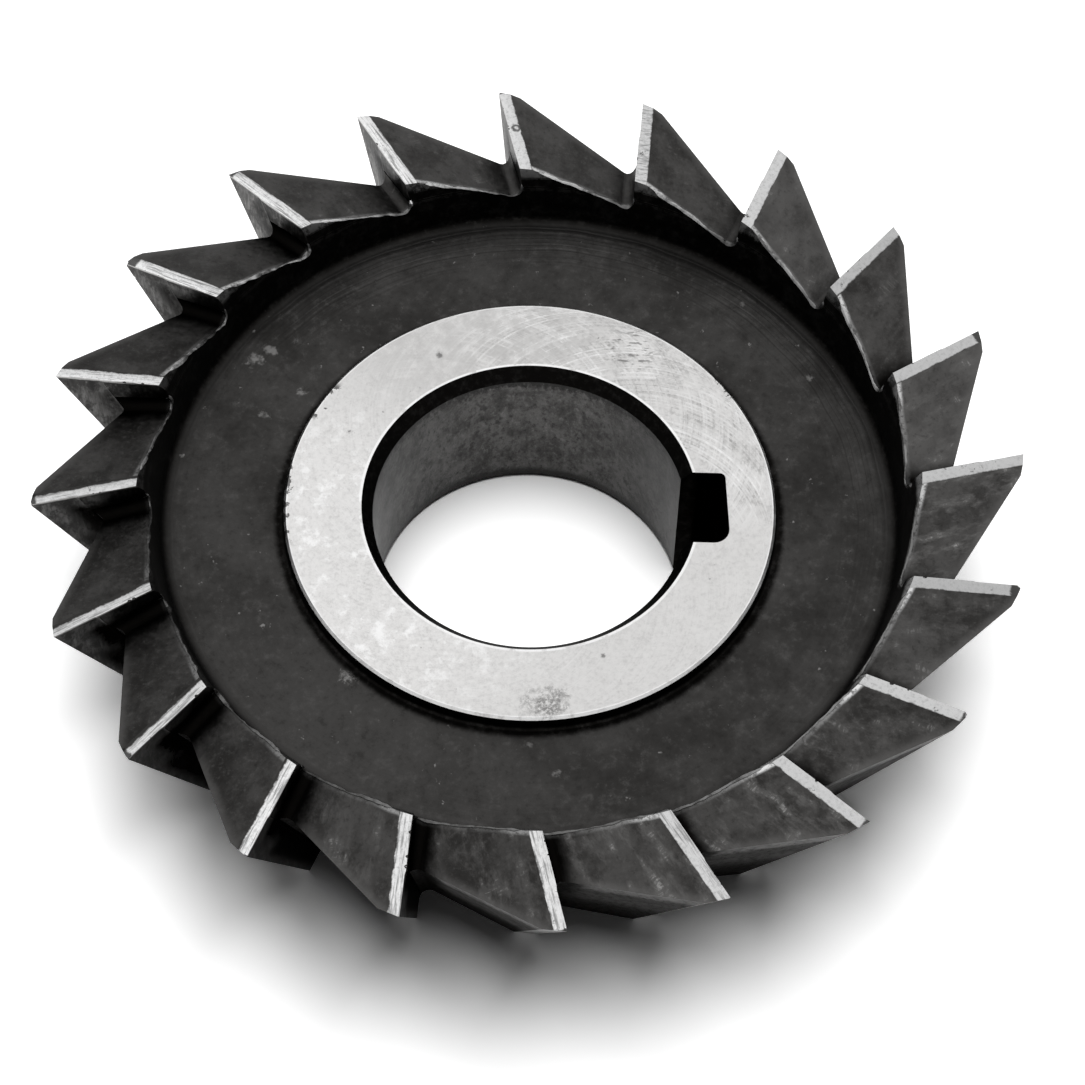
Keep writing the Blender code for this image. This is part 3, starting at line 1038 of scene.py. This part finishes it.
def swirl(place, radius, arcRadius, offset, side, waves, strength):
    # fine arcs of one radius, all round the hub, as a cup wheel leaves them
    tree = place.id_data
    middle = 10.5  # mm, the middle of the ring
    parts = addNode(tree, "ShaderNodeSeparateXYZ", {0: place}).outputs
    angle = calc("ARCTAN2", parts[1], parts[0])
    reach = plus(times(radius, radius), offset**2 - arcRadius**2)
    lean = calc("ARCCOSINE", calc("DIVIDE", reach, times(radius, 2 * offset)))
    turned = plus(angle, times(lean, float(side)))
    cosine, sine = calc("COSINE", turned), calc("SINE", turned)
    wires = {0: times(cosine, middle), 1: times(sine, middle), 2: side * 20.0}
    spot = addNode(tree, "ShaderNodeCombineXYZ", wires).outputs[0]
    return allOf(ramp(cloud(spot, waves, 2.0, 0.6), 0.44, 0.62), strength)


def hubGroundFinish():
    shader, spot = newFinish("hubGround", 1.0, 0.3)
    place = spot["Place"]
    radius = spot["Radius"]
    fine = cloud(place, 4.0, 5.0, 0.8, 2.0)
    dark = [swirl(place, radius, *values) for values in hubMarks["darkSwirls"]]
    light = [swirl(place, radius, *values) for values in hubMarks["lightSwirls"]]
    strong = [
        ramp(distanceTo(place, x, y), reach * 0.5, reach, 1.0, 0.25)
        for x, y, reach in hubMarks["strongSwirl"]
    ]
    strong = anyOf(*strong)
    patch = ramp(cloud(place, 0.9, 4.0, 0.7, 8.0), 0.4, 0.6, 0.15, 1.0)
    grain = ramp(fine, 0.38, 0.6, 0.3, 1.0)
    marks = allOf(anyOf(*dark), strong, patch, grain)
    mottle = cloud(place, 1.2, 5.0, 0.7, 30.0)
    side = ramp(distanceTo(place, *hubMarks["brightSide"]), 4.0, 15.0)
    colour = mixTone(roughened(side, mottle, 0.8), shade("hub"), shade("hubLow"))
    colour = coated(colour, ramp(fine, 0.42, 0.72, 0.0, 0.5), "hubStreakAndShade", 10)
    colour = coated(colour, marks, "hubStreakAndShade", -8)
    # painted shade: the top of the hub's face is darker
    topShade = ramp(distanceTo(place, -3.0, 11.0), 3.0, 10.0, 0.8, 0.0)
    topShade = allOf(topShade, ramp(mottle, 0.3, 0.6))
    colour = coated(colour, topShade, "hubStreakAndShade", 18)
    otherPatch = ramp(cloud(place, 0.8, 4.0, 0.7, 23.0), 0.42, 0.58, 0.2, 1.0)
    lustre = allOf(anyOf(*light), strong, otherPatch, grain, 0.7)
    colour = mixTone(lustre, colour, tone(255))
    glints = allOf(ramp(mottle, 0.5, 0.66), minus(1.0, side), 0.8)
    colour = mixTone(glints, colour, tone(255))
    onHub = fall(spot["Depth"], 3.0, 3.2)
    # painted highlight: thin white lines along the hub's outer and inner edges
    rimHighlights = anyOf(ramp(radius, 12.28, 12.38), ramp(radius, 8.72, 8.64))
    colour = mixTone(allOf(rimHighlights, onHub, ramp(mottle, 0.35, 0.5), 0.8), colour, tone(255))
    away = roughened(distanceTo(place, *hubMarks["stain"]), mottle, 3.4)
    flaws = [allOf(ramp(away, 0.3, 1.4, 0.65, 0.0), ramp(fine, 0.4, 0.56))]
    for x, y, width in hubMarks["nicks"]:
        away = roughened(distanceTo(place, x, y), fine, 0.6)
        flaws.append(ramp(away, width * 0.4, width * 1.5, 0.7, 0.0))
    dashes = ramp(cloud(stretched(place, (1.6, 5.0, 1.0)), 1.2, 3.0, 0.6, 3.0), 0.54, 0.62)
    near = ramp(distanceTo(place, *hubMarks["dashes"]), 0.8, 1.9, 0.6, 0.0)
    flaws.append(allOf(dashes, near))
    chips = cloud(place, 2.2, 4.0, 0.7, 51.0)
    ragged = ramp(roughened(radius, chips, 2.8), 12.3, 12.4)
    for x, y, reach in hubMarks["rimSpecks"]:
        near = ramp(distanceTo(place, x, y), reach * 0.7, reach, 0.85, 0.0)
        flaws.append(allOf(ragged, near))
    flaws.append(ramp(cloud(place, 2.0, 3.0, 0.6, 40.0), 0.7, 0.76, 0.0, 0.5))
    colour = coated(colour, allOf(anyOf(*flaws), onHub), "oxide")
    plug(ramp(marks, 0.0, 1.0, 0.28, 0.36), shader.inputs["Roughness"])
    finish(shader, colour, plus(marks, fine), 0.006)


def boreSteelFinish():
    shader, spot = newFinish("boreSteel", 1.0, 0.42)
    place = stretched(spot["Place"], (1.0, 1.0, 0.6))
    broad = cloud(place, 0.9, 5.0, 0.7, 9.0)
    fine = cloud(place, 3.6, 6.0, 0.78)
    colour = mixTone(ramp(broad, 0.36, 0.62), shade("bore", -4), shade("boreLight", 6))
    colour = coated(colour, ramp(fine, 0.5, 0.36, 0.0, 0.9), "bore", -22)
    colour = coated(colour, ramp(fine, 0.52, 0.66, 0.0, 0.7), "boreLight", 26)
    rightSide = ramp(distanceTo(spot["Place"], 7.2, 3.6, 5.5), 2.0, 7.0, 0.4, 0.0)
    colour = coated(colour, rightSide, "pit", 10)
    dots = ramp(cloud(place, 2.6, 2.0, 0.5, 6.0), 0.56, 0.68)
    pits = allOf(dots, ramp(cloud(place, 0.4, 3.0, 0.5, 17.0), 0.42, 0.56))
    streaks = cloud(stretched(place, (0.45, 0.45, 5.0)), 1.1, 4.0, 0.7, 3.0)
    streaks = ramp(streaks, 0.54, 0.64)
    nearTop = fall(roughened(spot["Depth"], broad, 2.0), 3.2, 4.8)
    dark = anyOf(allOf(pits, 0.8), allOf(streaks, nearTop, 0.8))
    colour = coated(colour, dark, "pit")
    mouth = fall(roughened(spot["Depth"], fine, 3.0), 3.1, 3.7)
    colour = coated(colour, mouth, "chamfer", 4)
    low = ramp(roughened(spot["Depth"], broad, 0.6), 10.9, 11.5, 0.0, 0.85)
    colour = coated(colour, low, "pit", -6)
    finish(shader, colour, fine, 0.02)


def chamferOxideFinish():
    shader, spot = newFinish("chamferOxide", 1.0, 0.5)
    fine = cloud(spot["Place"], 2.5, 4.0, 0.65)
    colour = mixTone(ramp(fine, 0.45, 0.75), shade("chamfer"), shade("chamfer", 20))
    # painted shade: the keyway's wall is nearly black
    slotWall = ramp(spot["Radius"], 8.6, 8.9, 0.0, 0.9)
    colour = coated(colour, slotWall, "paintedShade", -3)
    dimGrazing(shader, anyOf(slotWall, 0.6))
    finish(shader, colour, fine, 0.015)


def burrSteelFinish():
    # bright where the lip is rubbed, mostly close to the land
    shader, spot = newFinish("burrSteel", 1.0, 0.36)
    fine = cloud(spot["Place"], 0.9, 5.0, 0.7)
    bright = perTooth(spot, "burrBright")
    nearLand = ramp(roughened(spot["Behind"], fine, 1.5), 0.9, 2.6, 1.0, 0.7)
    farSide = fall(distanceTo(spot["Place"], 5.0, 22.0, 10.0), 10.0, 20.0)
    inRoot = allOf(farSide, ramp(spot["Ahead"], 1.0, 2.4, 0.75, 0.0))
    nearLand = allOf(nearLand, minus(1.0, inRoot))
    rubbed = allOf(ramp(fine, 0.36, 0.56, 0.15, 1.0), bright, nearLand)
    colour = mixTone(rubbed, shade("oxide", 6), tone(finishTones["land"]))
    finish(shader, colour, fine, 0.02)


for makeFinish in (
    toothOxideFinish, fluteOxideFinish, rakeSteelFinish, landGroundFinish, recessOxideFinish,
    hubGroundFinish, boreSteelFinish, chamferOxideFinish, burrSteelFinish,
):
    makeFinish()
print("finishes:", len(finishes))


# The body, with each face given its finish

def placeOnTooth(spot):
    radius = math.hypot(spot.x, spot.y)
    offset = outer * math.sin(rad["rake"])
    angle = math.atan2(spot.y, spot.x)
    start = rad["firstTooth"] + rad["rake"]
    turned = start - math.asin(offset / max(radius, offset)) - angle
    count = math.floor(turned / pitch + ownRake)
    local = angle + count * pitch - start
    return radius / mm, (-offset - radius * math.sin(local)) / mm, count


def finishOf(face):
    spot, way = face.center, face.normal
    radius, behind, count = placeOnTooth(spot)
    height = spot.z / mm
    outward = (way.x * spot.x + way.y * spot.y) / math.hypot(spot.x, spot.y)
    bore = cutterSizes["boreDiameter"] / 2
    hub = cutterSizes["hubDiameter"] / 2
    hubFace = cutterSizes["width"] - cutterSizes["hubSetback"]
    if radius < hub + 0.3:
        if abs(height - hubFace) < 0.02 and way.z > 0.9:
            return "hubGround"
        if height < 0.02:
            return "hubGround"
        if radius > hub - cutterSizes["hubEdge"] - 0.01:
            return "hubGround" if height > hubFace - cutterSizes["hubEdge"] else "recessOxide"
        if abs(way.z) < 0.1 and radius < bore + 0.03 and outward < -0.95:
            return "boreSteel"
        return "chamferOxide"
    if height < 0.02 and way.z < -0.9:
        return "hubGround"
    bevelTop, wallTop, foot, web = wallProfile()
    inRecess = outward < -0.4 or height < web / mm + 0.4
    if radius < bevelTop / mm + 0.05 and inRecess and height > web / mm - 0.1:
        return "recessOxide"
    if way.z > math.cos(rad["faceRelief"] + 0.06) and height > cutterSizes["width"] - 0.2:
        return "landGround"
    _, out = toothAxes(rad["firstTooth"] - count * pitch)
    if way.dot(out) > 0.97:
        return "rakeSteel"
    if outward > 0.85 and -0.1 < behind < cutterSizes["sideLand"] + 0.1:
        return "landGround"
    if outward > 0.3 and way.z < 0.6:
        return "fluteOxide"
    return "toothOxide"


def dressBody(body):
    mesh = body.data
    marked = mesh.attributes["burr"].data
    burrFaces = {face.index for face in mesh.polygons if marked[face.index].value}
    for name in ("burr", "taper"):
        if name in mesh.attributes:
            mesh.attributes.remove(mesh.attributes[name])
    names = list(finishes)
    mesh.materials.clear()
    for name in names:
        mesh.materials.append(finishes[name])
    for face in mesh.polygons:
        kind = "burrSteel" if face.index in burrFaces else finishOf(face)
        face.material_index = names.index(kind)
    mesh.shade_smooth()
    mesh.set_sharp_from_angle(angle=math.radians(22))
    weigh = body.modifiers.new("flatNormals", "WEIGHTED_NORMAL")
    weigh.keep_sharp = True
    weigh.weight = 100
    name = body.name
    made = newObject(name + "Dressed", bakeMesh(body, name))
    made.name = name
    return made


body = dressBody(makeBody(finishes["toothOxide"], finishes["burrSteel"]))
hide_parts("angle_cutter")
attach(body, "root")
print("body:", len(body.data.polygons), "faces")


# Floor, light and camera

stageLook = {
    "floorTone": 0.92,
    "floorLift": 0.55,  # the extra share that the camera and the steel see
    "fill": 0.03,
    "keyPower": 11.3,
    "keySize": (0.74, 0.95),
    "keyPlace": (0.0, 0.14, 1.0),
    "sky": ((0.0, 0.45), (0.35, 0.55), (0.62, 0.9), (0.76, 1.05), (0.86, 1.0), (0.94, 0.9), (1.0, 0.9)),
}


def makeFloor():
    shape = bmesh.new()
    bmesh.ops.create_circle(shape, cap_ends=True, segments=96, radius=1.6)
    mesh = meshFrom(shape, "floor")
    mesh.transform(Matrix.Translation((0, 0, -0.00002)))
    floor = newObject("floor", mesh)
    material = bpy.data.materials.new("paleFloor")
    material.use_nodes = True
    tree = material.node_tree
    tree.nodes.remove(tree.nodes["Principled BSDF"])
    level = stageLook["floorTone"]
    plain = addNode(tree, "ShaderNodeBsdfDiffuse", {"Color": (level, level, level, 1.0)}).outputs[0]
    more = level * stageLook["floorLift"]
    lift = addNode(tree, "ShaderNodeBsdfDiffuse", {"Color": (more, more, more, 1.0)}).outputs[0]
    both = addNode(tree, "ShaderNodeAddShader", {0: plain, 1: lift}).outputs[0]
    mixed = addNode(tree, "ShaderNodeMixShader", {0: seenByEye(tree), 1: plain, 2: both}).outputs[0]
    plug(mixed, tree.nodes["Material Output"].inputs["Surface"])
    mesh.materials.append(material)


def seenByEye(tree):
    path = tree.nodes.new("ShaderNodeLightPath").outputs
    return anyOf(path["Is Camera Ray"], path["Is Glossy Ray"], path["Is Transmission Ray"])


def makeLight():
    world = bpy.data.worlds.new("softStudio")
    world.use_nodes = True
    tree = world.node_tree
    background = tree.nodes["Background"]
    background.inputs["Color"].default_value = (1.0, 1.0, 1.0, 1.0)
    way = tree.nodes.new("ShaderNodeTexCoord").outputs["Generated"]
    sky = levelRamp(addNode(tree, "ShaderNodeSeparateXYZ", {0: way}).outputs["Z"], stageLook["sky"])
    path = tree.nodes.new("ShaderNodeLightPath").outputs
    shiny = anyOf(path["Is Glossy Ray"], path["Is Transmission Ray"])
    level = anyOf(
        path["Is Camera Ray"],
        times(shiny, sky),
        stageLook["fill"],
    )
    plug(level, background.inputs["Strength"])
    bpy.context.scene.world = world
    lamp = bpy.data.lights.new("overhead", "AREA")
    lamp.shape = "ELLIPSE"
    lamp.size, lamp.size_y = stageLook["keySize"]
    lamp.energy = stageLook["keyPower"]
    key = newObject("overhead", lamp)
    key.location = stageLook["keyPlace"]
    key.rotation_euler = (-Vector(stageLook["keyPlace"])).to_track_quat("-Z", "Y").to_euler()
    key.visible_glossy = False


cameraPlace = {
    "focal": 110.97,
    "elevation": 58.06,
    "roll": 1.61,
    "distance": 165.91,
    "target": (0.694, -3.730, 12.0),
}


def makeCamera():
    lens = bpy.data.cameras.new("photoView")
    lens.lens = cameraPlace["focal"]
    lens.sensor_width = 36.0
    lens.clip_start = 0.01
    camera = newObject("photoView", lens)
    lift = math.radians(cameraPlace["elevation"])
    tilt = math.radians(cameraPlace["roll"])
    back = Vector((0, -math.cos(lift), math.sin(lift)))
    right = Vector((1, 0, 0))
    over = back.cross(right)
    sideways = right * math.cos(tilt) + over * math.sin(tilt)
    upright = over * math.cos(tilt) - right * math.sin(tilt)
    spot = (Vector(cameraPlace["target"]) + back * cameraPlace["distance"]) * mm
    turn = Matrix((sideways, upright, back)).transposed()
    camera.matrix_world = Matrix.Translation(spot) @ turn.to_4x4()
    bpy.context.scene.camera = camera


makeFloor()
makeLight()
makeCamera()
view = bpy.context.scene.view_settings
view.view_transform = "Standard"
print("stage, light and camera ready")
